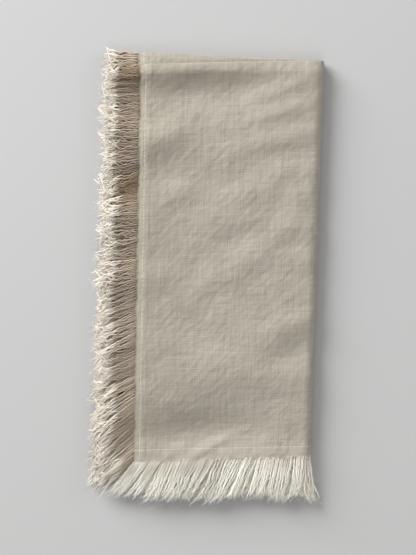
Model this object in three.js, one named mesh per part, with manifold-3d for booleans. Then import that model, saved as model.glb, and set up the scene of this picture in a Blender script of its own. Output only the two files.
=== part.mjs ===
// Folded table napkin with a frayed fringe on its four sides.
// It is made as the real one is. A woven cloth is laid out flat, with the loose yarns of its edges
// as a fringe, and then folded three times:
// 1. in half, with the crease along the top,
// 2. in half from side to side, with the crease along the left,
// 3. in half again, with the outer crease along the right.
// Millimetres, +Z up. The napkin lies on Z = 0, its right crease towards +X and its top crease towards +Y.
// The front is the side towards -Y, where both halves of the cloth end in a fringe.

import * as THREE from 'three';
import { mergeVertices } from 'three/addons/utils/BufferGeometryUtils.js';
import Module from 'manifold-3d';

const wasm = await Module();
wasm.setup();

// Driving dimensions
const ACROSS = 452; // woven cloth from its left edge to its right edge, laid flat
const ALONG = 462; // woven cloth from its front edge to its back edge, laid flat
const FRINGE = 22; // loose yarn beyond each woven edge
const SHEET = 1; // thickness of the cloth
const AIR = 0.4; // space between two layers that lie on each other
const PARTING = 0.3; // space between a woven edge and the strip that carries its fringe
const STRIP = 2; // width of that strip
const TOP_RUN = 101.8; // straight part of the top panel, from its fringed edge to the right crease
const CREASE_RUN = 112.5; // straight part of the two panels that end in the left crease

// Sizes that follow from them
const LAYER = SHEET + AIR; // from the middle of one layer to the middle of the next
const PAIR = 2 * LAYER; // from one doubled panel to the next
const HALF_PAIR = LAYER - AIR / 2; // half the thickness of a doubled panel
const STACK = 4 * PAIR - AIR; // height of the eight layers
const OUTER_BEND = 1.5 * PAIR; // the right crease, round the two panels inside it
const INNER_BEND = 0.5 * PAIR; // the two creases that hold nothing
const BENDS = Math.PI * (OUTER_BEND + 2 * INNER_BEND);
const HAIRPIN = LAYER / 2; // radius of the top crease, at the middle of the sheet
const LEG = (ALONG - Math.PI * HAIRPIN) / 2; // straight part of each half below the top crease
const EDGE_X = -(OUTER_BEND + HALF_PAIR + TOP_RUN); // fringed left edge of the top panel
const EDGE_Y = -(HALF_PAIR + LEG); // fringed front edges
const CREASE_X = -(OUTER_BEND + 2 * HALF_PAIR + CREASE_RUN + INNER_BEND); // outside of the left crease

// The section of the fold, in the order of the cloth from the left edge of its top panel.
// turn is 1 where the cloth bends to its left as it goes, and -1 where it bends to its right.
const PANELS = [
  { run: TOP_RUN, bend: OUTER_BEND, turn: -1 },
  { run: CREASE_RUN, bend: INNER_BEND, turn: -1 },
  { run: CREASE_RUN, bend: INNER_BEND, turn: 1 },
  { run: ACROSS - TOP_RUN - 2 * CREASE_RUN - BENDS, bend: 0, turn: 0 },
];

// How far each panel has slipped at its left end: drop along Y there, and slide along X at the front.
// from and to are the heights of the panel in the stack, before it settles.
const SLIPS = [
  { from: 0, to: 2 * PAIR - AIR, drop: -1.1, slide: 0 },
  { from: 2 * PAIR, to: 3 * PAIR - AIR, drop: -1.1, slide: 0.8 },
  { from: 3 * PAIR, to: STACK, drop: 6.2, slide: 4.1 },
];

// Soft ridges and troughs of the top face. x and y are from the top right corner, along and across
// the half lengths, turn the angle from X in degrees, and rise the height, less than 0 for a trough.
const CREASES = [
  { x: -70, y: -6, along: 48, across: 8, turn: 3, rise: 2 },
  { x: -87, y: -64, along: 24, across: 12, turn: -4, rise: -0.7 },
  { x: -92, y: -44, along: 22, across: 12, turn: 0, rise: 0.5 },
  { x: -28, y: -24, along: 34, across: 9, turn: 22, rise: 0.7 },
  { x: -30, y: -44, along: 30, across: 9, turn: 20, rise: -0.6 },
  { x: -12, y: -165, along: 17, across: 9, turn: 15, rise: -1 },
  { x: -60, y: -118, along: 40, across: 16, turn: 32, rise: 0.5 },
  { x: -60, y: -202, along: 48, across: 11, turn: 4, rise: 0.7 },
  { x: -62, y: -217, along: 40, across: 9, turn: 5, rise: -1.1 },
];

// The top and front rims stand up a little, and the fringe sinks towards its tips, by this share of its
// height for each millimetre past the left crease and past the top panel's front edge.
const RIM_RISE = 0.6;
const RIM_REACH = 14;
const LEFT_SINK = 0.045;
const FRONT_SINK = 0.025;

// The lower layers' fringe opens out past the right crease.
const SPLAY = 6;
const SPLAY_REACH = 14;

// Four combs of loose yarn, each on the strip that carries it. Every row of strands has a start and
// an end along its woven edge, and the pitch and root width of its strands.
const START = panelStarts();
const FRONT_HALF = { from: 1, to: LEG - 1, width: 2.4 };
const BACK_HALF = { from: ALONG - LEG + 1, to: ALONG - 1, width: 2.4 };
const COMBS = [
  {
    name: 'fringe_left_top',
    edge: ALONG,
    flat: (along, out) => [-out, along],
    rows: [{ ...FRONT_HALF, pitch: 4.3 }, { ...BACK_HALF, pitch: 10 }],
    colour: '#a8937d',
  },
  {
    name: 'fringe_left_under',
    edge: ALONG,
    flat: (along, out) => [ACROSS + out, along],
    rows: [{ ...FRONT_HALF, pitch: 10 }, { ...BACK_HALF, pitch: 7 }],
    colour: '#a8937d',
  },
  {
    name: 'fringe_front_outer',
    edge: ACROSS,
    flat: (along, out) => [along, -out],
    rows: [
      { ...panelRow(0), pitch: 4.3 },
      { ...bendRow(0), pitch: 3 },
      { ...panelRow(1), pitch: 7, onFloor: true },
      { ...panelRow(2), pitch: 10 },
      { ...panelRow(3), pitch: 10 },
    ],
    colour: '#dbd6c9',
  },
  {
    name: 'fringe_front_inner',
    edge: ACROSS,
    flat: (along, out) => [along, ALONG + out],
    rows: [0, 1, 2, 3].map((panel) => ({ ...panelRow(panel), pitch: 9 })),
    colour: '#dbd6c9',
  },
];

// How far the yarns lean to the side for each millimetre out, where they lean most. The left fringe leans
// towards the front as it nears the front corner, and the front fringe to the left, but for its right end.
const LEFT_LEAN = { most: 0.75, near: 10, far: 120 };
const FRONT_LEAN = { most: 0.38, near: -70, far: -8 };

// Strands: distance out of the front ones' knee, tip width as a share of the root's, thickness at the
// root and the tip, and how much their lengths differ. The left ones' knee is over the left crease.
const STRAND = { knee: 12, taper: 0.4, rootThick: 0.8, tipThick: 0.55, uneven: 0.14 };

// Flat cloth coordinate at which each panel starts, and the end of the cloth.
function panelStarts() {
  const starts = [0];
  for (const { run, bend } of PANELS) {
    starts.push(starts[starts.length - 1] + run + Math.PI * bend);
  }
  return starts;
}

// Where a row of strands lies on the straight part of a panel's front edge, and round the bend after it.
function panelRow(panel) {
  const from = START[panel] + 1;
  return { from, to: from + PANELS[panel].run - 2, width: 2.4 };
}

function bendRow(panel) {
  const from = START[panel] + PANELS[panel].run;
  return { from, to: START[panel + 1], width: 1.4 };
}

// The section at a flat distance across the cloth: a point, and the normal to the left of the cloth's way.
function section(across) {
  let x = EDGE_X;
  let z = 3 * PAIR + HALF_PAIR;
  let way = 1;
  let left = across;
  for (const { run, bend, turn } of PANELS) {
    if (left <= run || bend === 0) {
      return { x: x + way * left, z, nx: 0, nz: way };
    }
    x += way * run;
    left -= run;
    if (left <= Math.PI * bend) {
      const angle = left / bend;
      const side = turn * way;
      return {
        x: x + way * bend * Math.sin(angle),
        z: z + side * bend * (1 - Math.cos(angle)),
        nx: -side * Math.sin(angle),
        nz: way * Math.cos(angle),
      };
    }
    left -= Math.PI * bend;
    z += 2 * turn * way * bend;
    way = -way;
  }
  return null;
}

// The top crease: Y, and height above the middle of the doubled panel, at a flat distance along the
// cloth from its front edge. off is the distance from the middle of the sheet, outwards.
function hairpin(along, off) {
  const radius = HAIRPIN + off;
  if (along <= LEG) {
    return { y: along + EDGE_Y, height: radius };
  }
  if (along >= ALONG - LEG) {
    return { y: ALONG - along + EDGE_Y, height: -radius };
  }
  const angle = (along - LEG) / HAIRPIN;
  return { y: radius * Math.sin(angle) - HALF_PAIR, height: radius * Math.cos(angle) };
}

// How far the panel at height z has slipped. Between two panels it goes over from one to the other.
function slipAt(z) {
  for (let i = 0; i < SLIPS.length - 1; i += 1) {
    const here = SLIPS[i];
    const next = SLIPS[i + 1];
    if (z < next.from) {
      const share = THREE.MathUtils.smoothstep(z, here.to, next.from);
      return {
        drop: THREE.MathUtils.lerp(here.drop, next.drop, share),
        slide: THREE.MathUtils.lerp(here.slide, next.slide, share),
      };
    }
  }
  return SLIPS[SLIPS.length - 1];
}

// Height of the top face over the settled stack.
function rise(x, y) {
  let sum = 0;
  for (const crease of CREASES) {
    const angle = THREE.MathUtils.degToRad(crease.turn);
    const dx = x - crease.x;
    const dy = y - crease.y;
    const lengthwise = (dx * Math.cos(angle) + dy * Math.sin(angle)) / crease.along;
    const crosswise = (dy * Math.cos(angle) - dx * Math.sin(angle)) / crease.across;
    sum += crease.rise * Math.exp(-lengthwise * lengthwise - crosswise * crosswise);
  }
  const fromRim = Math.min(-y, y - EDGE_Y);
  return sum + RIM_RISE * (1 - THREE.MathUtils.smoothstep(fromRim, 0, RIM_REACH));
}

// How much of its height the stack keeps. The fringe sinks, and the underside stays flat.
function keep(x, y) {
  const pastCrease = Math.max(CREASE_X - x, 0);
  const pastFront = Math.max(EDGE_Y - SLIPS[2].drop * (x / EDGE_X) - y, 0);
  return (1 + rise(x, y) / STACK) * (1 - LEFT_SINK * pastCrease) * (1 - FRONT_SINK * pastFront);
}

function splay(x, y, z) {
  const out = THREE.MathUtils.smoothstep(EDGE_Y - y, 0, FRINGE);
  const near = THREE.MathUtils.smoothstep(x, -SPLAY_REACH, 0);
  return SPLAY * out * near * (1 - z / STACK);
}

// A point of the flat cloth, in the folded napkin. aside moves it along X once it is folded.
function fold(across, along, off, aside = 0) {
  const { y, height } = hairpin(along, off);
  const { x, z, nx, nz } = section(across);
  const foldedX = x + nx * height + aside;
  const foldedZ = z + nz * height;
  const { drop, slide } = slipAt(foldedZ);
  const slippedX = foldedX + slide * (y / EDGE_Y) * (foldedX / EDGE_X) + splay(foldedX, y, foldedZ);
  const slippedY = y - drop * (foldedX / EDGE_X);
  return new THREE.Vector3(slippedX, slippedY, foldedZ * keep(slippedX, slippedY));
}

// A closed box whose corners go through a function: i, j and k count its steps each way.
function bentBox(steps, place) {
  const [ni, nj, nk] = steps;
  let geometry = new THREE.BoxGeometry(ni, nj, nk, ni, nj, nk);
  geometry.deleteAttribute('normal');
  geometry.deleteAttribute('uv');
  geometry = mergeVertices(geometry);
  const corners = geometry.attributes.position;
  for (let n = 0; n < corners.count; n += 1) {
    const i = Math.round(corners.getX(n) + ni / 2);
    const j = Math.round(corners.getY(n) + nj / 2);
    const k = Math.round(corners.getZ(n) + nk / 2);
    const point = place(i, j, k);
    corners.setXYZ(n, point.x, point.y, point.z);
  }
  if (signedVolume(geometry) < 0) {
    turnInsideOut(geometry);
  }
  return geometry;
}

function signedVolume(geometry) {
  const a = new THREE.Vector3();
  const b = new THREE.Vector3();
  const c = new THREE.Vector3();
  const corners = geometry.attributes.position;
  const index = geometry.index.array;
  let sum = 0;
  for (let n = 0; n < index.length; n += 3) {
    a.fromBufferAttribute(corners, index[n]);
    b.fromBufferAttribute(corners, index[n + 1]);
    c.fromBufferAttribute(corners, index[n + 2]);
    sum += a.dot(b.cross(c)) / 6;
  }
  return sum;
}

function turnInsideOut(geometry) {
  const index = geometry.index.array;
  for (let n = 0; n < index.length; n += 3) {
    [index[n + 1], index[n + 2]] = [index[n + 2], index[n + 1]];
  }
}

// Steps across the cloth. Each panel has its steps at the same X as the others, so that layers keep apart.
const PANEL_X = [-94, -76, -58, -42, -27, -14];
const BEND_STEPS = { [OUTER_BEND]: 7, [INNER_BEND]: 5 };

function acrossSteps() {
  const steps = [];
  let start = 0;
  let from = EDGE_X;
  let way = 1;
  for (const { run, bend } of PANELS) {
    const to = from + way * run;
    const inside = PANEL_X.filter((x) => (x - from) * way > 4 && (to - x) * way > 4);
    steps.push(start, ...inside.map((x) => start + (x - from) * way).sort((a, b) => a - b));
    start += run;
    const count = bend > 0 ? BEND_STEPS[bend] : 0;
    for (let i = 0; i < count; i += 1) {
      steps.push(start + (Math.PI * bend * i) / count);
    }
    start += Math.PI * bend;
    from = to;
    way = -way;
  }
  return [...steps, ACROSS];
}

// Steps along the cloth, the same on both halves: distances from the front edge, then the top crease.
const LEG_STEPS = [0, 8, 16, 27, 44, 68, 96, 124, 148, 166, 182, 197, 208, 217, 224];
const HAIRPIN_STEPS = 5;

function alongSteps() {
  const crease = [];
  for (let i = 0; i <= HAIRPIN_STEPS; i += 1) {
    crease.push(LEG + ((ALONG - 2 * LEG) * i) / HAIRPIN_STEPS);
  }
  const back = LEG_STEPS.map((step) => ALONG - step).reverse();
  return [...LEG_STEPS, ...crease, ...back];
}

const ACROSS_STEPS = acrossSteps();
const ALONG_STEPS = alongSteps();

function woven() {
  const place = (i, j, k) => fold(ACROSS_STEPS[i], ALONG_STEPS[j], (k - 0.5) * SHEET);
  return bentBox([ACROSS_STEPS.length - 1, ALONG_STEPS.length - 1, 1], place);
}

function strip({ edge, flat }) {
  const steps = edge === ALONG ? ALONG_STEPS : ACROSS_STEPS;
  const place = (i, j, k) => {
    const [across, along] = flat(steps[i], PARTING + j * STRIP);
    return fold(across, along, (k - 0.5) * SHEET);
  };
  return bentBox([steps.length - 1, 1, 1], place);
}

// A repeatable number from -1 to 1, different for each count.
function scatter(count) {
  const wave = Math.sin(count * 12.9898) * 43758.5453;
  return 2 * (wave - Math.floor(wave)) - 1;
}

// The lean of a yarn that starts at this place of the flat cloth, along the cloth and aside in space.
function lean(across, along) {
  if (across < 0 || across > ACROSS) {
    const fromFront = Math.min(along, ALONG - along);
    const share = 1 - THREE.MathUtils.smoothstep(fromFront, LEFT_LEAN.near, LEFT_LEAN.far);
    return { along: (along < LEG ? -1 : 1) * LEFT_LEAN.most * share, aside: 0 };
  }
  const share = 1 - THREE.MathUtils.smoothstep(section(across).x, FRONT_LEAN.near, FRONT_LEAN.far);
  return { along: 0, aside: -FRONT_LEAN.most * share };
}

function strand({ edge, flat }, { width, onFloor }, start, pitch, count) {
  const root = PARTING + 0.4 * STRIP;
  const knee = edge === ALONG ? fold(...flat(start, 0), 0).x - CREASE_X : STRAND.knee;
  const tip = FRINGE * (1 - STRAND.uneven * (0.5 + 0.5 * scatter(count)));
  const joints = [root, knee, tip];
  const stray = 0.35 * (pitch - width) * scatter(count + 0.5);
  const side = lean(...flat(start, FRINGE));
  const place = (i, j, k) => {
    const out = joints[i];
    const share = (out - root) / (tip - root);
    const wide = width * THREE.MathUtils.lerp(1, STRAND.taper, share);
    const thick = THREE.MathUtils.lerp(STRAND.rootThick, STRAND.tipThick, share);
    const seat = onFloor ? (SHEET - thick) / 2 : 0;
    const sway = stray * share * share + (j - 0.5) * wide;
    const leaning = share * (out - root);
    const [across, along] = flat(start + sway, out);
    return fold(across, along + side.along * leaning, seat + (k - 0.5) * thick, side.aside * leaning);
  };
  return bentBox([joints.length - 1, 1, 1], place);
}

function toManifold(geometry) {
  const vertProperties = new Float32Array(geometry.attributes.position.array);
  const triVerts = new Uint32Array(geometry.index.array);
  return new wasm.Manifold(new wasm.Mesh({ numProp: 3, vertProperties, triVerts }));
}

function toGeometry(manifold) {
  const { vertProperties, triVerts } = manifold.getMesh();
  const geometry = new THREE.BufferGeometry();
  geometry.setAttribute('position', new THREE.BufferAttribute(vertProperties, 3));
  geometry.setIndex(new THREE.BufferAttribute(triVerts, 1));
  return geometry;
}

function comb(spec, first) {
  let joined = toManifold(strip(spec));
  let count = first;
  for (const row of spec.rows) {
    const strands = Math.floor((row.to - row.from) / row.pitch);
    const even = (row.to - row.from) / strands;
    for (let n = 0; n < strands; n += 1) {
      joined = joined.add(toManifold(strand(spec, row, row.from + (n + 0.5) * even, even, count)));
      count += 1;
    }
  }
  return toGeometry(joined);
}

function addPiece(group, name, geometry, colour) {
  geometry.computeVertexNormals();
  const material = new THREE.MeshStandardMaterial({ color: colour, roughness: 0.95, metalness: 0 });
  const mesh = new THREE.Mesh(geometry, material);
  mesh.name = name;
  group.add(mesh);
}

// The origin is under the middle of the napkin's outline.
const folded = new THREE.Group();
addPiece(folded, 'cloth', woven(), '#b0aa9e');
COMBS.forEach((spec, n) => addPiece(folded, spec.name, comb(spec, 100 * n), spec.colour));
const middle = new THREE.Box3().setFromObject(folded).getCenter(new THREE.Vector3());
folded.position.set(-middle.x, -middle.y, 0);

const napkin = new THREE.Group();
napkin.name = 'folded_napkin';
napkin.add(folded);

export default napkin;
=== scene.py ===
"""Looks of the folded napkin: its woven cloth, the stitching along its edges and its frayed yarns.

The cloth is a flat sheet of woven yarn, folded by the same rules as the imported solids: in half along
the top, then twice in half from side to side. The loose yarns of its edges go through the same fold.
Sizes of the napkin are in millimetres, and become metres where a mesh is made. Those of the stage,
with its camera and lights, are in metres.
"""

import math

import bpy
import numpy as np
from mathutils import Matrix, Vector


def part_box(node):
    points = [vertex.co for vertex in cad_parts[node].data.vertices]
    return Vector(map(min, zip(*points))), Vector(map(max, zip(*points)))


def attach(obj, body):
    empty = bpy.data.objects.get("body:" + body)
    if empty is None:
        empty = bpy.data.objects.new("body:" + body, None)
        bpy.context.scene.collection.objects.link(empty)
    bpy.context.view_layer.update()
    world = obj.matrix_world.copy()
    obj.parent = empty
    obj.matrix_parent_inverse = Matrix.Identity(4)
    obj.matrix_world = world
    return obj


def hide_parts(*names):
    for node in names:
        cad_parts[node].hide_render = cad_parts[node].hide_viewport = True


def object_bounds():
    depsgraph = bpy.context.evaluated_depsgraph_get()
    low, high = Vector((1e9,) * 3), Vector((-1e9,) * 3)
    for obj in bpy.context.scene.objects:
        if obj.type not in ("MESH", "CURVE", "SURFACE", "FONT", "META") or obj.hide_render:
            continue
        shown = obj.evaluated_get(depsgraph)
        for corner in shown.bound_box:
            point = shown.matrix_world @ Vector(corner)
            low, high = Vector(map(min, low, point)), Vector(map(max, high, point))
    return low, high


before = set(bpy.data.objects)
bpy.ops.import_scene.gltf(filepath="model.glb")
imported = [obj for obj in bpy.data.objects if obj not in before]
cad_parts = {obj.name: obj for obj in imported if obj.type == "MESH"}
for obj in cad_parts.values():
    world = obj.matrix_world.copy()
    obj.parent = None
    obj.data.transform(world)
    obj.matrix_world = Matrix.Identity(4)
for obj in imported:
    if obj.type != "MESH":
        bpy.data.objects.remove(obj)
cad_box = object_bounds()
cloth_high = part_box("cloth")[1]

MM = 0.001
SEED = 20
FULL_TURN = 2 * math.pi

# Cloth and fold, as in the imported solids
ACROSS = 452.0
ALONG = 462.0
FRINGE = 22.0
SHEET = 1.0
AIR = 0.4
TOP_RUN = 101.8
CREASE_RUN = 112.5

LAYER = SHEET + AIR
PAIR = 2 * LAYER
HALF_PAIR = LAYER - AIR / 2
STACK = 4 * PAIR - AIR
OUTER_BEND = 1.5 * PAIR
INNER_BEND = 0.5 * PAIR
BENDS = math.pi * (OUTER_BEND + 2 * INNER_BEND)
HAIRPIN = LAYER / 2
LEG = (ALONG - math.pi * HAIRPIN) / 2
EDGE_X = -(OUTER_BEND + HALF_PAIR + TOP_RUN)
EDGE_Y = -(HALF_PAIR + LEG)
CREASE_X = -(OUTER_BEND + 2 * HALF_PAIR + CREASE_RUN + INNER_BEND)

# Straight part, bend radius and turn of each panel, from the left edge of the top one
PANELS = [
    (TOP_RUN, OUTER_BEND, -1),
    (CREASE_RUN, INNER_BEND, -1),
    (CREASE_RUN, INNER_BEND, 1),
    (ACROSS - TOP_RUN - 2 * CREASE_RUN - BENDS, 0.0, 0),
]

# Slip of the panels at heights of the stack: drop at the left end, and slide at the front
SLIP_Z = [0, 2 * PAIR - AIR, 2 * PAIR, 3 * PAIR - AIR, 3 * PAIR, STACK]
SLIP_DROP = [-1.1, -1.1, -1.1, -1.1, 6.2, 6.2]
SLIP_SLIDE = [0, 0, 0.8, 0.8, 4.1, 4.1]

# Soft ridges and troughs of the top face: place from the top right corner, half length, half width,
# angle from X in degrees, and height
CREASES = [
    (-78, -6.5, 42, 9, 4, 4.9),
    (-70, -21, 38, 11.5, 5, -3.2),
    (-92, -49, 20, 10, 10, 3.6),
    (-90, -70, 18, 9, 8, -1.4),
    (-24, -18, 24, 5, 22, 1.6),
    (-28, -32, 28, 5.5, 18, 1.5),
    (-40, -52, 36, 6, 18, 1.4),
    (-86, -82, 18, 7, 38, 1.4),
    (-46, -85, 38, 8, 30, 1.2),
    (-22, -102, 22, 7, 25, 0.8),
    (-52, -127, 28, 8, 28, 1.2),
    (-92, -130, 16, 8, 10, 1.3),
    (-16, -155, 20, 7, 14, 1.6),
    (-12, -171, 18, 7, 16, -2.6),
    (-96, -171, 18, 10, 4, 1.4),
    (-54, -183, 42, 15, 10, 3.2),
    (-66, -219, 38, 12, 5, -5.1),
    (-60, -232, 60, 7, 0, 0.9),
    (-57, -226, 15, 2.6, 30, 1.6),
    (-80, -231, 12, 2.4, 36, 0.8),
]

# Faint waves of the top face: how many, range of lengths, height for each millimetre of length, slant
# in degrees with its spread in radians, field from the top right corner, and range of reaches
RIPPLES = {
    "count": 26,
    "length": (13, 34),
    "height": 0.0105,
    "slant_deg": 118,
    "slant_spread": 0.5,
    "field": (-110, -235),
    "reach": (18, 42),
}

# Rims of the folded cloth: a rise along the top and the front, and edges that roll down
RIM_RISE = 0.6
RIM_REACH = 14.0
TOP_ROLL = 1.8
TOP_ROLL_REACH = 6.5
LEFT_ROLL = 1.6
LEFT_ROLL_REACH = 5.5

# Past the stack: share of its height that a point loses with each millimetre and least share that it
# keeps, and how far the front yarns splay at the right crease
LEFT_SINK = 0.045
FRONT_SINK = 0.011
LEAST_KEPT = 0.1
SPLAY = 6.0
SPLAY_REACH = 14.0

# Looks of the cloth: thickness as drawn and its share at the edges, pitch of its yarns, and where its
# edge stitching runs
THICK = 0.8
EDGE_THIN = 0.4
EDGE_THIN_REACH = 2.5
YARN_PITCH = 0.7
LEFT_SEAM = 3.6
FRONT_SEAM = 6.5
STITCH = {"long": 2.25, "pitch": 2.4, "steps": 5, "sides": 6, "radius": 0.2, "sunk": 0.2, "arch": 0.36}

# Relief of the edges: the firm margin outside the stitching with the widths of its two slopes, the
# groove and puckers along the stitching, and the rib inside it
MARGIN = {"height": 0.12, "rise": 2.0, "fall": 1.5}
GROOVE = {"depth": 0.26, "width": 0.55}
PUCKER = {"height": 0.1, "width": 2.6}
RIB = {"height": 0.14, "width": 0.6, "gap": 2.8}

# Sideways wander of the cut edges: height, length of one radian and phase of each wave
EDGE_WAVES = [(0.26, 2.9, 0.0), (0.24, 5.3, 1.0), (0.2, 1.7, 2.0)]
EDGE_WAVE_REACH = 6.0

# Steps of the cloth's mesh, fine in the margins and bends and coarse where the cloth is hidden. That
# of the bends is in radians.
HEM_REACH = 11.0
PANEL_STEPS = (1.3, 3.4, 6.5, 6.5)
LEFT_HEM_STEP = 0.4
BEND_STEP = 0.35
FRONT_HEM_STEP = 0.45
OUTER_STEP = 1.4
HAIRPIN_STEP = 0.22
INNER_STEP = 5.0

# Camera: straight above, turned as the napkin lies in the photo. Its sensor is in millimetres.
LEAN_DEG = 1.98
FRAME_HEIGHT = 0.325
CAMERA_HEIGHT = 1.3
SENSOR = 36.0


def smoothstep(value, low, high):
    share = np.clip((value - low) / (high - low), 0, 1)
    return share * share * (3 - 2 * share)


def bell(value, width):
    return np.exp(-((value / width) ** 2))


def from_ends(place, length):
    """Distance from the nearer end of a length."""
    return np.minimum(place, length - place)


# Folding


def section(across):
    """Point and left-hand normal of the fold's section, at flat distances across the cloth."""
    x, z = np.zeros_like(across), np.zeros_like(across)
    nx, nz = np.zeros_like(across), np.zeros_like(across)
    todo = np.ones(across.shape, bool)
    from_x, from_z, way, start = EDGE_X, 3 * PAIR + HALF_PAIR, 1, 0.0
    for run, bend, turn in PANELS:
        rest = across - start
        here = todo & ((rest <= run) | (bend == 0))
        x[here] = from_x + way * rest[here]
        z[here] = from_z
        nz[here] = way
        todo &= ~here
        if bend == 0:
            break
        from_x += way * run
        start += run
        side = turn * way
        here = todo & (across - start <= math.pi * bend)
        angle = (across[here] - start) / bend
        x[here] = from_x + way * bend * np.sin(angle)
        z[here] = from_z + side * bend * (1 - np.cos(angle))
        nx[here] = -side * np.sin(angle)
        nz[here] = way * np.cos(angle)
        todo &= ~here
        start += math.pi * bend
        from_z += 2 * side * bend
        way = -way
    return x, z, nx, nz


def hairpin(along, off):
    """Y, and height above the middle of the doubled panel, at flat distances along the cloth."""
    radius = HAIRPIN + off
    angle = np.clip((along - LEG) / HAIRPIN, 0, math.pi)
    straight = np.minimum(along - LEG, 0) + np.minimum(ALONG - LEG - along, 0)
    return straight + radius * np.sin(angle) - HALF_PAIR, radius * np.cos(angle)


def crease_rise(x, y):
    """Height that the main creases add to the top face."""
    total = np.zeros_like(x)
    for cx, cy, length, width, turn, height in CREASES:
        c, s = math.cos(math.radians(turn)), math.sin(math.radians(turn))
        lengthwise = ((x - cx) * c + (y - cy) * s) / length
        crosswise = ((y - cy) * c - (x - cx) * s) / width
        total += height * np.exp(-lengthwise**2 - crosswise**2)
    return total


def rim_rise(x, y):
    """Height that the rims add before the panels slip, less than 0 where an edge rolls down."""
    total = RIM_RISE * (1 - smoothstep(np.minimum(-y, y - EDGE_Y), 0, RIM_REACH))
    total -= TOP_ROLL * (1 - smoothstep(-y, 0, TOP_ROLL_REACH))
    return total - LEFT_ROLL * (1 - smoothstep(x - EDGE_X, 0, LEFT_ROLL_REACH))


def ripple_rise(x, y):
    """Faint waves that the cloth keeps from being handled, most of them on the slant."""
    random = np.random.default_rng(SEED)
    total = np.zeros_like(x)
    for _ in range(RIPPLES["count"]):
        length = random.uniform(*RIPPLES["length"])
        turn = random.normal(math.radians(RIPPLES["slant_deg"]), RIPPLES["slant_spread"])
        phase = random.uniform(0, FULL_TURN)
        cx, cy = [random.uniform(end, 0) for end in RIPPLES["field"]]
        reach = random.uniform(*RIPPLES["reach"])
        near = np.exp(-((x - cx) ** 2 + (y - cy) ** 2) / reach**2)
        way = (x - cx) * math.cos(turn) + (y - cy) * math.sin(turn)
        wave = np.cos(FULL_TURN * way / length + phase)
        total += RIPPLES["height"] * length * near * wave
    return total


def fold(across, along, off, aside_x=0.0, aside_y=0.0):
    """Points of the flat cloth, in the folded napkin.

    off is how far outside the middle of the sheet they lie. The asides move them once they are folded.
    """
    y, height = hairpin(along, off)
    x, z, nx, nz = section(across)
    x = x + nx * height + aside_x
    y = y + aside_y
    z = z + nz * height
    rise = rim_rise(x, y)
    drop = np.interp(z, SLIP_Z, SLIP_DROP)
    slide = np.interp(z, SLIP_Z, SLIP_SLIDE)
    spread = smoothstep(EDGE_Y - y, 0, FRINGE) * smoothstep(x, -SPLAY_REACH, 0) * (1 - z / STACK)
    slipped_y = y - drop * x / EDGE_X
    x = x + slide * (y / EDGE_Y) * (x / EDGE_X) + SPLAY * spread
    y = slipped_y
    past_crease = np.maximum(CREASE_X - x, 0)
    past_front = np.maximum(EDGE_Y - SLIP_DROP[-1] * x / EDGE_X - y, 0)
    rise = rise + crease_rise(x, y) + ripple_rise(x, y)
    kept = 1 + rise / STACK
    kept = kept * (1 - LEFT_SINK * past_crease) * (1 - FRONT_SINK * past_front)
    return np.stack([x, y, z * np.maximum(kept, LEAST_KEPT)], axis=-1)


# Napkin coordinates start at the top right corner of the folded cloth
CORNER = np.array([cloth_high.x / MM, cloth_high.y / MM + SLIP_DROP[0] * CREASE_X / EDGE_X, 0.0])


def to_metres(points):
    return (points + CORNER) * MM


# Meshes

TINY = 1e-9
Z_AXIS = np.array([0.0, 0.0, 1.0])


def make_mesh(name, points, faces):
    """An object of these points, in napkin millimetres, none of them below the floor, and its corners.

    faces is a list of arrays, one face a row. The corners are the points of all faces in turn.
    """
    mesh = bpy.data.meshes.new(name)
    points[:, 2] = np.maximum(points[:, 2], 0)
    corners = np.concatenate([f.ravel() for f in faces]).astype(np.int32)
    totals = np.concatenate([np.full(len(f), f.shape[1]) for f in faces]).astype(np.int32)
    starts = np.concatenate([[0], np.cumsum(totals)[:-1]]).astype(np.int32)
    mesh.vertices.add(len(points))
    mesh.vertices.foreach_set("co", to_metres(points).astype(np.float32).ravel())
    mesh.loops.add(len(corners))
    mesh.loops.foreach_set("vertex_index", corners)
    mesh.polygons.add(len(totals))
    mesh.polygons.foreach_set("loop_start", starts)
    mesh.polygons.foreach_set("use_smooth", np.full(len(totals), True))
    mesh.update(calc_edges=True)
    mesh.validate()
    piece = bpy.data.objects.new(name, mesh)
    bpy.context.scene.collection.objects.link(piece)
    return piece, corners


def add_values(piece, name, values):
    attribute = piece.data.attributes.new(name, "FLOAT", "POINT")
    attribute.data.foreach_set("value", values.astype(np.float32).ravel())


def unit(vectors):
    return vectors / (np.linalg.norm(vectors, axis=-1, keepdims=True) + TINY)


def tubes(paths, radii, sides):
    """Points and faces of closed tubes round many paths at once: paths is tubes, steps, xyz."""
    count, steps, _ = paths.shape
    along = unit(np.gradient(paths, axis=1))
    side = unit(np.cross(along, Z_AXIS))
    up = np.cross(side, along)
    angles = FULL_TURN * np.arange(sides) / sides
    ring = np.cos(angles)[:, None] * side[:, :, None, :] + np.sin(angles)[:, None] * up[:, :, None, :]
    points = paths[:, :, None, :] + radii[:, :, None, None] * ring
    index = np.arange(count * steps * sides).reshape(count, steps, sides)
    after = np.roll(index, -1, axis=2)
    quads = np.stack([index[:, :-1], after[:, :-1], after[:, 1:], index[:, 1:]], axis=-1).reshape(-1, 4)
    caps = np.concatenate([index[:, 0, ::-1].reshape(-1, sides), index[:, -1].reshape(-1, sides)])
    return points.reshape(-1, 3), [quads, caps]


# Woven cloth


def even_steps(low, high, step):
    return np.linspace(low, high, int(math.ceil((high - low) / step)) + 1)


def across_steps():
    parts, place = [], 0.0
    for (run, bend, _), step in zip(PANELS, PANEL_STEPS):
        fine = HEM_REACH if place == 0 else 0
        parts.append(even_steps(place, place + fine, LEFT_HEM_STEP)[:-1])
        parts.append(even_steps(place + fine, place + run, step)[:-1])
        place += run
        if bend > 0:
            parts.append(even_steps(place, place + math.pi * bend, BEND_STEP * bend)[:-1])
            place += math.pi * bend
    return np.concatenate([*parts, [ACROSS]])


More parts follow.
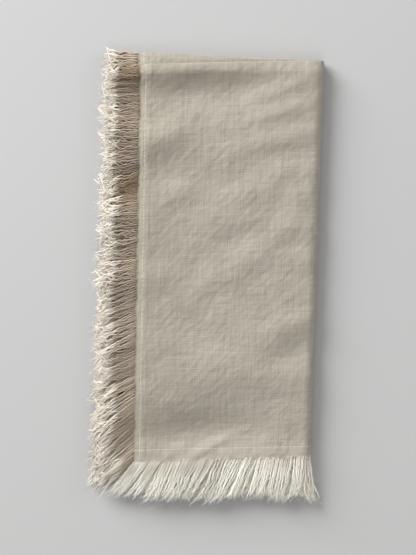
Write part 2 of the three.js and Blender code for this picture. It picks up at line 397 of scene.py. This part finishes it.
def along_steps():
    hem = even_steps(0, HEM_REACH, FRONT_HEM_STEP)[:-1]
    outer = even_steps(HEM_REACH, LEG, OUTER_STEP)[:-1]
    crease = even_steps(LEG, ALONG - LEG, HAIRPIN_STEP)[:-1]
    inner = even_steps(ALONG - LEG, ALONG, INNER_STEP)
    return np.concatenate([hem, outer, crease, inner])


def hem_relief(across, along):
    """Height of the edges: firmer outside the stitching, drawn in and puckered along it."""
    total = np.zeros_like(across)
    for inside, run, seam in (
        (from_ends(across, ACROSS), along, LEFT_SEAM),
        (from_ends(along, ALONG), across, FRONT_SEAM),
    ):
        firm = MARGIN["height"] * smoothstep(inside, 0, MARGIN["rise"])
        firm = firm * (1 - smoothstep(inside, seam, seam + MARGIN["fall"]))
        groove = GROOVE["depth"] * bell(inside - seam, GROOVE["width"])
        pucker = PUCKER["height"] * np.sin(math.pi * run / STITCH["pitch"])
        pucker = pucker * bell(inside - seam, PUCKER["width"])
        rib = RIB["height"] * bell(inside - seam - RIB["gap"], RIB["width"])
        total += firm - groove + pucker + rib
    return total


def edge_wave(run, inside):
    """Sideways wander of a cut edge along its run, and how it dies out inside the cloth."""
    wave = sum(height * np.sin(run / radian + phase) for height, radian, phase in EDGE_WAVES)
    return wave * (1 - smoothstep(inside, 0, EDGE_WAVE_REACH))


def make_cloth():
    """The folded sheet, closed along its edges, with its flat millimetres as a UV map."""
    across, along = np.meshgrid(across_steps(), along_steps(), indexing="ij")
    ni, nj = across.shape
    relief = hem_relief(across, along)
    from_side, from_front = from_ends(across, ACROSS), from_ends(along, ALONG)
    inside = smoothstep(np.minimum(from_side, from_front), 0, EDGE_THIN_REACH)
    half = THICK / 2 * (EDGE_THIN + (1 - EDGE_THIN) * inside)
    wander = (edge_wave(along, from_side), edge_wave(across, from_front))
    outer = fold(across, along, relief + half, *wander)
    inner = fold(across, along, relief - half, *wander)
    points = np.concatenate([outer.reshape(-1, 3), inner.reshape(-1, 3)])
    index = np.arange(ni * nj).reshape(ni, nj)
    top = np.stack([index[:-1, :-1], index[1:, :-1], index[1:, 1:], index[:-1, 1:]], -1).reshape(-1, 4)
    rim = np.concatenate([index[:, 0], index[-1, 1:], index[-2::-1, -1], index[0, -2:0:-1]])
    rim_after = np.roll(rim, -1)
    below = ni * nj
    sides = np.stack([rim, rim + below, rim_after + below, rim_after], -1)
    piece, corners = make_mesh("woven_cloth", points, [top, top[:, ::-1] + below, sides])
    flat = np.stack([across.ravel(), along.ravel()], -1)
    flat = np.concatenate([flat, flat])[corners]
    layer = piece.data.uv_layers.new(name="sheet")
    layer.data.foreach_set("uv", flat.astype(np.float32).ravel())
    return piece


# Loose yarns

# Yarns of the top layer are two twisted plies, those under it plain, and fine fibres fray from them all
PLY = {"steps": 19, "sides": 3, "radius": 0.24}
PLAIN = {"steps": 10, "sides": 4, "radius": 0.34}
FIBRE = {"steps": 5, "sides": 3, "radius": 0.075}
TWIST_PITCH = 3.2
TWIST_RADIUS = 0.15

# Way of the yarns. Their roots start inside the cloth. Ends, starts and the ease are shares of the
# fringe's length, and rates are radians a millimetre.
ROOT_INSET = 0.9
ROOT_LIFT = 0.08
EASE_LIMIT = 1.3
GATHER_END = 0.85
WANDER_POWER = 1.4
CURL_RATE = 0.55
CURL_LIFT = 0.5
HOOK_START = 0.65
HOOK_GAIN = 8
CRIMP = 0.22
CRIMP_RATE = 1.9

# Girth of a yarn along it: the share at its root, where it has swelled, and what it loses at its tip
ROOT_GIRTH = 0.5
SWELL_END = 0.18
TIP_LOSS = 0.6

# Spread of the yarns' traits: that of whole locks, and that of single yarns
SPREADS = {
    "curl": (0.7, 0.6),
    "length": (0.06, 0.05),
    "curl_rate": (0.1, 0.08),
    "curl_phase": (3.0, 0.6),
    "hook": (0.8, 1.0),
    "lift": (0.3, 0.25),
    "shade": (0.9, 0.6),
}

# Traits that spread by single yarns alone: place in the row, wander, phase of crimp, and lift of root
START_SPREAD = 0.35
WANDER_SPREAD = 0.7
CRIMP_SPREAD = 3.0
ROOT_LIFT_SPREAD = 0.1

# Fibres: where they leave their yarns, as a range, a power that draws them to the tips and the last
# share, then their ranges of length and of curl in radians, their stray and curl, sideways and upwards,
# and their loss of girth at the tip
LEAVE_RANGE = (0.15, 1.0)
LEAVE_POWER = 0.7
LEAVE_LAST = 0.93
FIBRE_LENGTH = (2.5, 6.5)
FIBRE_TURN = (2, 6)
STRAY_POWER = 1.5
SIDE_STRAY = 1.2
SIDE_CURL = 0.5
LIFT_STRAY = 0.45
LIFT_CURL = 0.4
FIBRE_LOSS = 0.5

# Sideways run of the yarns for each millimetre out: of the left ones by their distance from the
# front edge, less than 0 towards the front, and of the front ones by their place from the right crease
LEFT_LEAN = [
    (0, -0.82),
    (12, -0.88),
    (30, -0.68),
    (52, -0.46),
    (85, -0.42),
    (110, -0.26),
    (140, -0.05),
    (158, -0.08),
    (167, -0.5),
    (176, -0.1),
    (190, 0.05),
    (222, -0.04),
    (231, -0.04),
]
FRONT_LEAN = [
    (-120, -0.3),
    (-112, -0.6),
    (-104, -0.95),
    (-92, -0.62),
    (-78, -0.48),
    (-40, -0.4),
    (-20, -0.22),
    (-6, -0.03),
    (0, 0.0),
]

# Painted shade on the left roots by distance from the front edge: the far half, a gap and the top end are
# painted darker
FAR_PAINTED_SHADE = 0.28
FAR_HALF = (95, 125)
GAP_PLACE = 161
GAP_WIDTH = 8
TOP_PAINTED_SHADE = 0.5
TOP_END = (213, 226)

# Where the yarns turn light sooner or later, in shares of the fringe: the left ones by distance from
# the front edge, and the front ones by distance from the right crease
CORNER_PALE = 0.28
FRONT_CORNER = (2, 20)
LEFT_DELAY = 0.3
LEFT_PART = (45, 85)


def draw_locks(count, sizes, random):
    """Groups neighbouring yarns into locks: the number of each yarn's lock."""
    drawn = random.integers(sizes[0], sizes[1] + 1, count)
    return np.repeat(np.arange(count), drawn)[:count]


def draw_normal(count, random):
    """Normal values, none of them past two deviations."""
    return np.clip(random.normal(0, 1, count), -2, 2)


def draw_traits(edge, random):
    """Random traits of each loose yarn of one edge, some of them shared by a whole lock."""
    count = int(edge["length"] / YARN_PITCH)
    start = np.arange(count) + 0.5 + random.uniform(-START_SPREAD, START_SPREAD, count)
    start = start * edge["length"] / count
    lock = draw_locks(count, edge["lock"], random)
    middle = np.bincount(lock, start) / np.bincount(lock)

    def shared(spread):
        return spread * draw_normal(lock[-1] + 1, random)[lock]

    def own(spread):
        return spread * draw_normal(count, random)

    def both(trait):
        lock_spread, yarn_spread = SPREADS[trait]
        return shared(lock_spread) + own(yarn_spread)

    curl = edge["curl"] * both("curl")
    return {
        "start": start,
        "length": FRINGE * (edge["share"] + both("length")),
        "gather": edge["gather"] * (middle[lock] - start),
        "wander": shared(edge["wander"]) + own(WANDER_SPREAD),
        "curl": curl,
        "curl_lift": CURL_LIFT * edge["loft"] * curl,
        "curl_rate": CURL_RATE + both("curl_rate"),
        "curl_phase": both("curl_phase"),
        "hook": edge["curl"] * both("hook"),
        "crimp_phase": own(CRIMP_SPREAD),
        "lift": edge["loft"] * both("lift"),
        "root_lift": ROOT_LIFT + own(ROOT_LIFT_SPREAD),
        "shade": both("shade"),
    }


def run_yarns(traits, pick, out):
    """Sideways and upward way of the picked yarns, at distances out from the cloth."""
    t = {name: values[pick, None] for name, values in traits.items()}
    eased = np.clip(out / FRINGE, 0, EASE_LIMIT)
    turn = t["curl_rate"] * out + t["curl_phase"]
    sideways = t["gather"] * smoothstep(eased, 0, GATHER_END) + t["wander"] * eased**WANDER_POWER
    sideways = sideways + t["curl"] * eased * np.sin(turn)
    sideways = sideways + HOOK_GAIN * t["hook"] * np.maximum(eased - HOOK_START, 0) ** 2
    sideways = sideways + CRIMP * np.sin(CRIMP_RATE * out + t["crimp_phase"])
    lift = t["root_lift"] + t["lift"] * eased + t["curl_lift"] * eased * np.cos(turn)
    return sideways, lift


def left_place(flat_across):
    """Folds the yarns of a left edge, whose place across the flat cloth is a function of the way out."""
    def place(start, out, sideways, lift):
        lean = np.interp(from_ends(start, ALONG), *zip(*LEFT_LEAN))
        return fold(flat_across(out), start, lift, 0.0, sideways + lean * np.maximum(out, 0))
    return place


def front_place(flat_along):
    """Folds the yarns of a front edge, whose place along the flat cloth is a function of the way out."""
    def place(start, out, sideways, lift):
        lean = np.interp(section(start)[0], *zip(*FRONT_LEAN))
        reach = out / np.sqrt(1 + lean**2)
        return fold(start, flat_along(reach), lift, sideways + lean * np.maximum(reach, 0), 0.0)
    return place


def left_painted_shade(start):
    """How much painted shade darkens the roots of the top left yarns: somewhat in the far half, most in
    the gap.
    """
    from_front = from_ends(start, ALONG)
    far = FAR_PAINTED_SHADE * smoothstep(from_front, *FAR_HALF)
    gap = bell(from_front - GAP_PLACE, GAP_WIDTH)
    return np.clip(far + gap + TOP_PAINTED_SHADE * smoothstep(from_front, *TOP_END), 0, 1)


def left_pale(start):
    """How much sooner the left yarns turn light at the front corner."""
    return CORNER_PALE * (1 - smoothstep(from_ends(start, ALONG), *FRONT_CORNER))


def front_pale(start):
    """How much later, as less than 0, the front yarns turn light towards the left corner."""
    return -LEFT_DELAY * smoothstep(-section(start)[0], *LEFT_PART)


# Traits of the two kinds of edge. share is the length of their yarns in fringes, lock the range of
# yarns in a lock, gather how far these draw together, loft how much they lift, and fray the number of
# fibres of a yarn in the top layer and under it.
LEFT_EDGE = {
    "length": ALONG,
    "kind": "weft_yarn",
    "share": 0.86,
    "lock": (2, 6),
    "gather": 0.55,
    "wander": 1.5,
    "curl": 1.7,
    "girth": 1.3,
    "loft": 0.6,
    "pale": left_pale,
    "painted_shade": np.zeros_like,
    "fray": (8, 2),
}
FRONT_EDGE = {
    "length": ACROSS,
    "kind": "warp_yarn",
    "share": 1.0,
    "lock": (6, 15),
    "gather": 0.3,
    "wander": 1.1,
    "curl": 0.85,
    "girth": 1.5,
    "loft": 0.35,
    "pale": front_pale,
    "painted_shade": np.zeros_like,
    "fray": (25, 2),
}

# top_to is how far along its edge a fringe lies in the top layer
PANEL_END = TOP_RUN + math.pi * OUTER_BEND / 2
EDGES = {
    "fringe_left_top": {
        **LEFT_EDGE,
        "painted_shade": left_painted_shade,
        "top_to": ALONG / 2,
        "place": left_place(lambda out: -out),
    },
    "fringe_left_under": {
        **LEFT_EDGE,
        "top_to": 0.0,
        "place": left_place(lambda out: ACROSS + out),
    },
    "fringe_front_outer": {
        **FRONT_EDGE,
        "top_to": PANEL_END,
        "place": front_place(lambda out: -out),
    },
    "fringe_front_inner": {
        **FRONT_EDGE,
        "top_to": PANEL_END,
        "place": front_place(lambda out: ALONG + out),
    },
}


def strand_mesh(edge, traits, pick, out, stray, size, thinning):
    """Tubes along the picked yarns, and the values that colour each of their points."""
    sideways, lift = run_yarns(traits, pick, out)
    start = np.broadcast_to(traits["start"][pick, None], out.shape)
    paths = edge["place"](start, out, sideways + stray[0], lift + stray[1])
    paths[..., 2] = np.maximum(paths[..., 2], size["radius"])
    points, faces = tubes(paths, size["radius"] * thinning, size["sides"])
    values = {
        "out": out / FRINGE + edge["pale"](start),
        "shade": np.broadcast_to(traits["shade"][pick, None], out.shape),
        # painted shade on the yarns' roots, as a share from 0 to 1
        "painted_shade": edge["painted_shade"](start),
    }
    values = {name: np.repeat(value.ravel(), size["sides"]) for name, value in values.items()}
    return points, faces, values


def whole_length(edge, traits, pick, size):
    """Distances out along the picked yarns, from a little inside the cloth to the tips, and the girth."""
    share = np.linspace(0, 1, size["steps"])[None, :]
    out = -ROOT_INSET + share * (traits["length"][pick, None] + ROOT_INSET)
    swell = ROOT_GIRTH + (1 - ROOT_GIRTH) * smoothstep(share, 0, SWELL_END)
    return out, np.broadcast_to(edge["girth"] * swell * (1.0 - TIP_LOSS * share**3), out.shape)


def ply_strands(edge, traits, pick, random):
    """Two plies of each picked yarn, twisted round each other."""
    turn = np.repeat(random.uniform(0, FULL_TURN, len(pick)), 2) + np.tile([0, math.pi], len(pick))
    pick = np.repeat(pick, 2)
    out, thinning = whole_length(edge, traits, pick, PLY)
    turn = turn[:, None] + FULL_TURN * out / TWIST_PITCH
    twist = TWIST_RADIUS * thinning
    stray = (twist * np.cos(turn), twist * np.sin(turn))
    return strand_mesh(edge, traits, pick, out, stray, PLY, thinning)


def plain_strands(edge, traits, pick):
    out, thinning = whole_length(edge, traits, pick, PLAIN)
    return strand_mesh(edge, traits, pick, out, (0.0, 0.0), PLAIN, thinning)


def fibre_strands(edge, traits, pick, random):
    """Fine fibres that leave their yarns, most of them near the tips, and curl away."""
    one_each = (len(pick), 1)
    share = np.linspace(0, 1, FIBRE["steps"])[None, :]
    leaves = random.uniform(*LEAVE_RANGE, one_each) ** LEAVE_POWER
    leaves = leaves * LEAVE_LAST * traits["length"][pick, None]
    out = leaves + share * random.uniform(*FIBRE_LENGTH, one_each)
    turn = random.uniform(0, FULL_TURN, one_each) + random.uniform(*FIBRE_TURN, one_each) * share
    away = share**STRAY_POWER
    sideways = random.normal(0, SIDE_STRAY, one_each) * away + SIDE_CURL * share * np.sin(turn)
    lift = random.normal(0, LIFT_STRAY, one_each) * away + LIFT_CURL * share * np.cos(turn)
    thinning = np.broadcast_to(1.0 - FIBRE_LOSS * share, out.shape)
    return strand_mesh(edge, traits, pick, out, (sideways, lift), FIBRE, thinning)


def make_fringe(node, edge, seed):
    """Yarns of one edge, with the fine fibres that fray from them."""
    random = np.random.default_rng(seed)
    traits = draw_traits(edge, random)
    top = np.flatnonzero(traits["start"] < edge["top_to"])
    under = np.flatnonzero(traits["start"] >= edge["top_to"])
    frayed = np.concatenate([np.repeat(top, edge["fray"][0]), np.repeat(under, edge["fray"][1])])
    groups = [plain_strands(edge, traits, under), fibre_strands(edge, traits, frayed, random)]
    if len(top):
        groups.append(ply_strands(edge, traits, top, random))
    faces, first = [], 0
    for points, group_faces, _ in groups:
        faces += [face + first for face in group_faces]
        first += len(points)
    all_points = np.concatenate([points for points, _, _ in groups])
    piece, _ = make_mesh("yarns_" + node.removeprefix("fringe_"), all_points, faces)
    for name in ("out", "shade", "painted_shade"):
        add_values(piece, name, np.concatenate([values[name] for _, _, values in groups]))
    return piece


# Edge stitching


def stitch_row(length, flat):
    """Paths of the stitches of one seam, each arched out of the cloth."""
    count = int(length / STITCH["pitch"])
    start = (np.arange(count)[:, None] + 0.5) * length / count
    share = np.linspace(-0.5, 0.5, STITCH["steps"])[None, :]
    arch = 1 - (2 * share) ** 2
    across, along = flat(start + share * STITCH["long"])
    face = hem_relief(across, along) + THICK / 2
    return fold(across, along, face - STITCH["sunk"] + STITCH["arch"] * arch)


def make_stitching():
    rows = [
        stitch_row(ALONG, lambda s: (np.full_like(s, LEFT_SEAM), s)),
        stitch_row(ALONG, lambda s: (np.full_like(s, ACROSS - LEFT_SEAM), s)),
        stitch_row(ACROSS, lambda s: (s, np.full_like(s, FRONT_SEAM))),
        stitch_row(ACROSS, lambda s: (s, np.full_like(s, ALONG - FRONT_SEAM))),
    ]
    paths = np.concatenate(rows)
    points, faces = tubes(paths, np.full(paths.shape[:2], STITCH["radius"]), STITCH["sides"])
    return make_mesh("edge_stitching", points, faces)[0]


# Materials

SPECULAR = 0.2
SHEEN_ROUGHNESS = 0.5
BUMP_STRENGTH = 0.5

# Tones of the cloth: its two yarns, its front and left edges, and painted shade that darkens it towards
# the left
WARP_TONE = (0.366, 0.345, 0.296, 1)
WEFT_TONE = (0.312, 0.280, 0.231, 1)
FRONT_TONE = (0.66, 0.63, 0.56, 1)
LEFT_TONE = (0.25, 0.20, 0.15, 1)
PAINTED_LEFT_SHADE = (0.925, 0.92, 0.905, 1)

# Where the tones of the edges and the painted shade start and end, by distance from the edge, how ragged
# the front one is, and the shares of the edge tones
FRONT_TINT = (4.8, 1.4)
FRONT_TINT_RAGGED = 3.0
FRONT_TINT_SHARE = 0.3
LEFT_TINT = (3.5, 1.0)
LEFT_TINT_SHARE = 0.5
PAINTED_LEFT_SHADE_REACH = (50.0, 5.0)

# Noise of the cloth, in steps a millimetre, or a yarn for the jump: the wander of the weave, slubs that
# run along each yarn, streaks of yarns and a crinkle on the slant
WEAVE_WANDER = 1.6
WEAVE_WANDER_RATE = 0.045
YARN_JUMP = 7.31
LONG_RATE = 0.05
STREAK_RATE = 0.8
CRINKLE_RATES = (0.1, 0.17)

# Level of each noise, which keeps it apart from the others, and its detail
NOISES = {
    "warp": (0.0, 2.0),
    "weft": (9.0, 2.0),
    "upright": (3.0, 3.0),
    "level": (5.0, 3.0),
    "crinkle": (2.0, 3.0),
}

# Light of the slubs and streaks: the least, and what the noise adds
SLUB_LIGHT = (0.52, 0.96)
STREAK_LIGHT = (0.8, 0.2)

# Heights of the cloth's bump, in yarns, and the height of one yarn
SLUB_HEIGHT = 0.8
CRINKLE_HEIGHT = 10.5
WEAVE_BUMP = 0.22

# Yarns: tones of a root darkened by painted shade, a plain one and a tip, where the tip's tone starts and
# ends in shares of the fringe, and how much the light varies. No white root has painted shade.
TAN_YARN = {
    "painted_shade_root": (0.26, 0.186, 0.122, 1),
    "root": (0.40, 0.333, 0.263, 1),
    "tip": (0.71, 0.65, 0.564, 1),
    "turns": (0.51, 0.72),
    "vary": 0.16,
}
WHITE_YARN = {
    "painted_shade_root": (0.80, 0.755, 0.655, 1),
    "root": (0.80, 0.755, 0.655, 1),
    "tip": (0.99, 0.96, 0.865, 1),
    "turns": (-0.05, 0.4),
    "vary": 0.08,
}

# How much the turn to the tip's tone varies, the fuzz of the yarns, and how light soaks into them
TURN_VARY = 0.06
FUZZ_SCALE = 2200.0
FUZZ_BUMP = 0.12
SOFT_WEIGHT = 0.25
SOFT_DEPTH = 0.5

THREAD_TONES = ((0.49, 0.455, 0.39, 1), (0.58, 0.54, 0.47, 1))
THREAD_SCALE = 400.0
FLOOR_TONES = ((0.42, 0.42, 0.425, 1), (0.445, 0.445, 0.445, 1))
FLOOR_SCALE = 3.0


class Nodes:
    """Short ways to add shader nodes to one material."""

    def __init__(self, name):
        self.material = bpy.data.materials.new(name)
        self.material.use_nodes = True
        self.tree = self.material.node_tree
        self.shader = self.tree.nodes["Principled BSDF"]

    def add(self, kind, **settings):
        node = self.tree.nodes.new(kind)
        for key, value in settings.items():
            setattr(node, key, value)
        return node

    def link(self, source, target):
        self.tree.links.new(source, target)

    def feed(self, socket, value):
        if isinstance(value, bpy.types.NodeSocket):
            self.link(value, socket)
        else:
            socket.default_value = value

    def math(self, operation, *values):
        node = self.add("ShaderNodeMath", operation=operation)
        for socket, value in zip(node.inputs, values):
            self.feed(socket, value)
        return node.outputs["Value"]

    def plus(self, start, value, gain):
        """start, with gain times the value added."""
        return self.math("ADD", start, self.math("MULTIPLY", value, gain))

    def from_ends(self, place, length):
        return self.math("MINIMUM", place, self.math("SUBTRACT", length, place))

    def vector(self, x, y, z):
        node = self.add("ShaderNodeCombineXYZ")
        for socket, value in zip(node.inputs, (x, y, z)):
            self.feed(socket, value)
        return node.outputs["Vector"]

    def noise(self, place, scale, detail=2.0):
        node = self.add("ShaderNodeTexNoise")
        self.link(place, node.inputs["Vector"])
        node.inputs["Scale"].default_value = scale
        node.inputs["Detail"].default_value = detail
        return node.outputs["Fac"]

    def streaks(self, name, x, y):
        """A named noise over two values, each given with its rate."""
        level, detail = NOISES[name]
        place = self.vector(self.math("MULTIPLY", *x), self.math("MULTIPLY", *y), level)
        return self.noise(place, 1.0, detail)

    def object_noise(self, scale):
        return self.noise(self.add("ShaderNodeTexCoord").outputs["Object"], scale)

    def mix(self, share, a, b, blend="MIX"):
        node = self.add("ShaderNodeMix", data_type="RGBA", blend_type=blend)
        self.feed(node.inputs["Factor"], share)
        self.feed(node.inputs["A"], a)
        self.feed(node.inputs["B"], b)
        return node.outputs["Result"]

    def lit(self, tone, light):
        return self.mix(1.0, tone, self.vector(light, light, light), "MULTIPLY")

    def ramp(self, value, low, high):
        node = self.add("ShaderNodeMapRange", interpolation_type="SMOOTHSTEP")
        self.link(value, node.inputs["Value"])
        node.inputs["From Min"].default_value = low
        node.inputs["From Max"].default_value = high
        return node.outputs["Result"]

    def attribute(self, name):
        return self.add("ShaderNodeAttribute", attribute_name=name).outputs["Fac"]

    def colour(self, tone):
        self.link(tone, self.shader.inputs["Base Color"])

    def bump(self, height, distance):
        node = self.add("ShaderNodeBump")
        node.inputs["Strength"].default_value = BUMP_STRENGTH
        node.inputs["Distance"].default_value = distance * MM
        self.link(height, node.inputs["Height"])
        self.link(node.outputs["Normal"], self.shader.inputs["Normal"])

    def fabric(self, roughness, sheen):
        self.shader.inputs["Roughness"].default_value = roughness
        self.shader.inputs["Specular IOR Level"].default_value = SPECULAR
        self.shader.inputs["Sheen Weight"].default_value = sheen
        self.shader.inputs["Sheen Roughness"].default_value = SHEEN_ROUGHNESS


def cloth_material():
    """Plain weave of light warp and tan weft, each yarn with slubs of its own."""
    n = Nodes("oatmeal_weave")
    flat = n.add("ShaderNodeUVMap", uv_map="sheet").outputs["UV"]
    split = n.add("ShaderNodeSeparateXYZ")
    n.link(flat, split.inputs["Vector"])
    across, along = split.outputs["X"], split.outputs["Y"]
    wander = n.noise(flat, WEAVE_WANDER_RATE, detail=3.0)
    bend = n.math("MULTIPLY", n.math("SUBTRACT", wander, 0.5), WEAVE_WANDER)
    warp = n.math("DIVIDE", n.math("ADD", across, bend), YARN_PITCH)
    weft = n.math("DIVIDE", n.math("ADD", along, bend), YARN_PITCH)
    warp_count, weft_count = n.math("FLOOR", warp), n.math("FLOOR", weft)
    warp_slub = n.streaks("warp", (warp_count, YARN_JUMP), (along, LONG_RATE))
    weft_slub = n.streaks("weft", (across, LONG_RATE), (weft_count, YARN_JUMP))
    over = n.math("PINGPONG", n.math("ADD", warp_count, weft_count), 1.0)
    slub_least, slub_gain = SLUB_LIGHT
    warp_tone = n.lit(WARP_TONE, n.plus(slub_least, warp_slub, slub_gain))
    weft_tone = n.lit(WEFT_TONE, n.plus(slub_least, weft_slub, slub_gain))
    upright = n.streaks("upright", (across, STREAK_RATE), (along, LONG_RATE))
    level = n.streaks("level", (across, LONG_RATE), (along, STREAK_RATE))
    streak_least, streak_gain = STREAK_LIGHT
    streak = n.plus(streak_least, n.math("ADD", upright, level), streak_gain)
    tone = n.lit(n.mix(over, warp_tone, weft_tone), streak)
    from_front = n.from_ends(along, ALONG)
    loose = n.ramp(n.plus(from_front, warp_slub, FRONT_TINT_RAGGED), *FRONT_TINT)
    tone = n.mix(n.math("MULTIPLY", loose, FRONT_TINT_SHARE), tone, FRONT_TONE)
    from_left = n.from_ends(across, ACROSS)
    # painted shade: the cloth's tone is darkened towards its left edge
    tone = n.mix(n.ramp(from_left, *PAINTED_LEFT_SHADE_REACH), tone, PAINTED_LEFT_SHADE, "MULTIPLY")
    loose = n.ramp(n.math("ADD", from_left, weft_slub), *LEFT_TINT)
    n.colour(n.mix(n.math("MULTIPLY", loose, LEFT_TINT_SHARE), tone, LEFT_TONE))
    warp_round = n.math("SINE", n.math("MULTIPLY", n.math("FRACT", warp), math.pi))
    weft_round = n.math("SINE", n.math("MULTIPLY", n.math("FRACT", weft), math.pi))
    warp_over = n.math("MULTIPLY", n.math("SUBTRACT", 1.0, over), warp_round)
    height = n.math("ADD", n.math("MULTIPLY", over, weft_round), warp_over)
    height = n.plus(height, n.math("ADD", warp_slub, weft_slub), SLUB_HEIGHT)
    slant_rate, counter_rate = CRINKLE_RATES
    slant = (n.math("ADD", across, along), slant_rate)
    counter = (n.math("SUBTRACT", along, across), counter_rate)
    height = n.plus(height, n.streaks("crinkle", slant, counter), CRINKLE_HEIGHT)
    n.bump(height, WEAVE_BUMP)
    n.fabric(roughness=0.92, sheen=0.12)
    return n.material


def yarn_material(name, painted_shade_root, root, tip, turns, vary):
    """Frayed yarn: its root darkened by painted shade or plain, lighter past its turns, each in a light
    of its own.
    """
    n = Nodes(name)
    towards_tip = n.plus(n.attribute("out"), n.attribute("shade"), TURN_VARY)
    # painted shade: the root tone is mixed towards a darker one by the painted shade value
    tone = n.mix(n.ramp(towards_tip, *turns), n.mix(n.attribute("painted_shade"), root, painted_shade_root), tip)
    n.colour(n.lit(tone, n.plus(1.0, n.attribute("shade"), vary)))
    n.bump(n.object_noise(FUZZ_SCALE), FUZZ_BUMP)
    n.fabric(roughness=0.95, sheen=0.1)
    n.shader.inputs["Subsurface Weight"].default_value = SOFT_WEIGHT
    n.shader.inputs["Subsurface Radius"].default_value = (1.0, 1.0, 1.0)
    n.shader.inputs["Subsurface Scale"].default_value = SOFT_DEPTH * MM
    return n.material


def thread_material():
    n = Nodes("sewing_thread")
    n.colour(n.mix(n.object_noise(THREAD_SCALE), *THREAD_TONES))
    n.fabric(roughness=0.8, sheen=0.1)
    return n.material


def floor_material():
    n = Nodes("pale_floor")
    n.colour(n.mix(n.object_noise(FLOOR_SCALE), *FLOOR_TONES))
    n.shader.inputs["Roughness"].default_value = 0.9
    return n.material


# Stage

FLOOR_HALF = 3.0
FLOOR_DROP = 0.00005

# Place, diameter and power of each lamp
LAMPS = {
    "key": ((-1.15, 1.1, 0.82), 1.3, 58.0),
    "overhead": ((0.1, -1.1, 1.6), 1.8, 10.0),
    "side": ((1.4, 0.3, 0.7), 0.9, 6.0),
}
SKY_TONE = (1.0, 0.98, 0.95, 1)
SKY_STRENGTH = 0.34


def make_floor():
    mesh = bpy.data.meshes.new("floor")
    corners = [(x * FLOOR_HALF, y * FLOOR_HALF, 0) for x, y in ((-1, -1), (1, -1), (1, 1), (-1, 1))]
    mesh.from_pydata(corners, [], [(0, 1, 2, 3)])
    floor = bpy.data.objects.new("floor", mesh)
    floor.location.z = -FLOOR_DROP
    floor.data.materials.append(floor_material())
    bpy.context.scene.collection.objects.link(floor)


def add_lamp(name, place, size, power):
    """A round lamp that points at the middle of the floor."""
    data = bpy.data.lights.new(name, "AREA")
    data.shape = "DISK"
    data.size = size
    data.energy = power
    lamp = bpy.data.objects.new(name, data)
    lamp.location = place
    direction = -lamp.location
    lamp.rotation_euler = direction.to_track_quat("-Z", "Y").to_euler()
    bpy.context.scene.collection.objects.link(lamp)


def light_scene():
    for name, lamp in LAMPS.items():
        add_lamp(name, *lamp)
    world = bpy.data.worlds.new("studio")
    world.use_nodes = True
    background = world.node_tree.nodes["Background"]
    background.inputs["Color"].default_value = SKY_TONE
    background.inputs["Strength"].default_value = SKY_STRENGTH
    bpy.context.scene.world = world
    bpy.context.scene.view_settings.view_transform = "Standard"


def add_camera():
    data = bpy.data.cameras.new("camera")
    data.sensor_width = SENSOR
    data.lens = SENSOR * CAMERA_HEIGHT / FRAME_HEIGHT
    camera = bpy.data.objects.new("camera", data)
    low, high = cad_box
    camera.location = ((low.x + high.x) / 2, (low.y + high.y) / 2, CAMERA_HEIGHT)
    camera.rotation_euler = (0, 0, math.radians(LEAN_DEG))
    bpy.context.scene.collection.objects.link(camera)
    bpy.context.scene.camera = camera


# Assembly

add_camera()
light_scene()
make_floor()

cloth = make_cloth()
cloth.data.materials.append(cloth_material())
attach(cloth, "root")
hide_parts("cloth")

yarn_materials = {
    "weft_yarn": yarn_material("tan_yarn", **TAN_YARN),
    "warp_yarn": yarn_material("white_yarn", **WHITE_YARN),
}
for count, (node, edge) in enumerate(EDGES.items()):
    fringe = make_fringe(node, edge, SEED + count)
    fringe.data.materials.append(yarn_materials[edge["kind"]])
    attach(fringe, "root")
    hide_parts(node)

stitching = make_stitching()
stitching.data.materials.append(thread_material())
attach(stitching, "root")
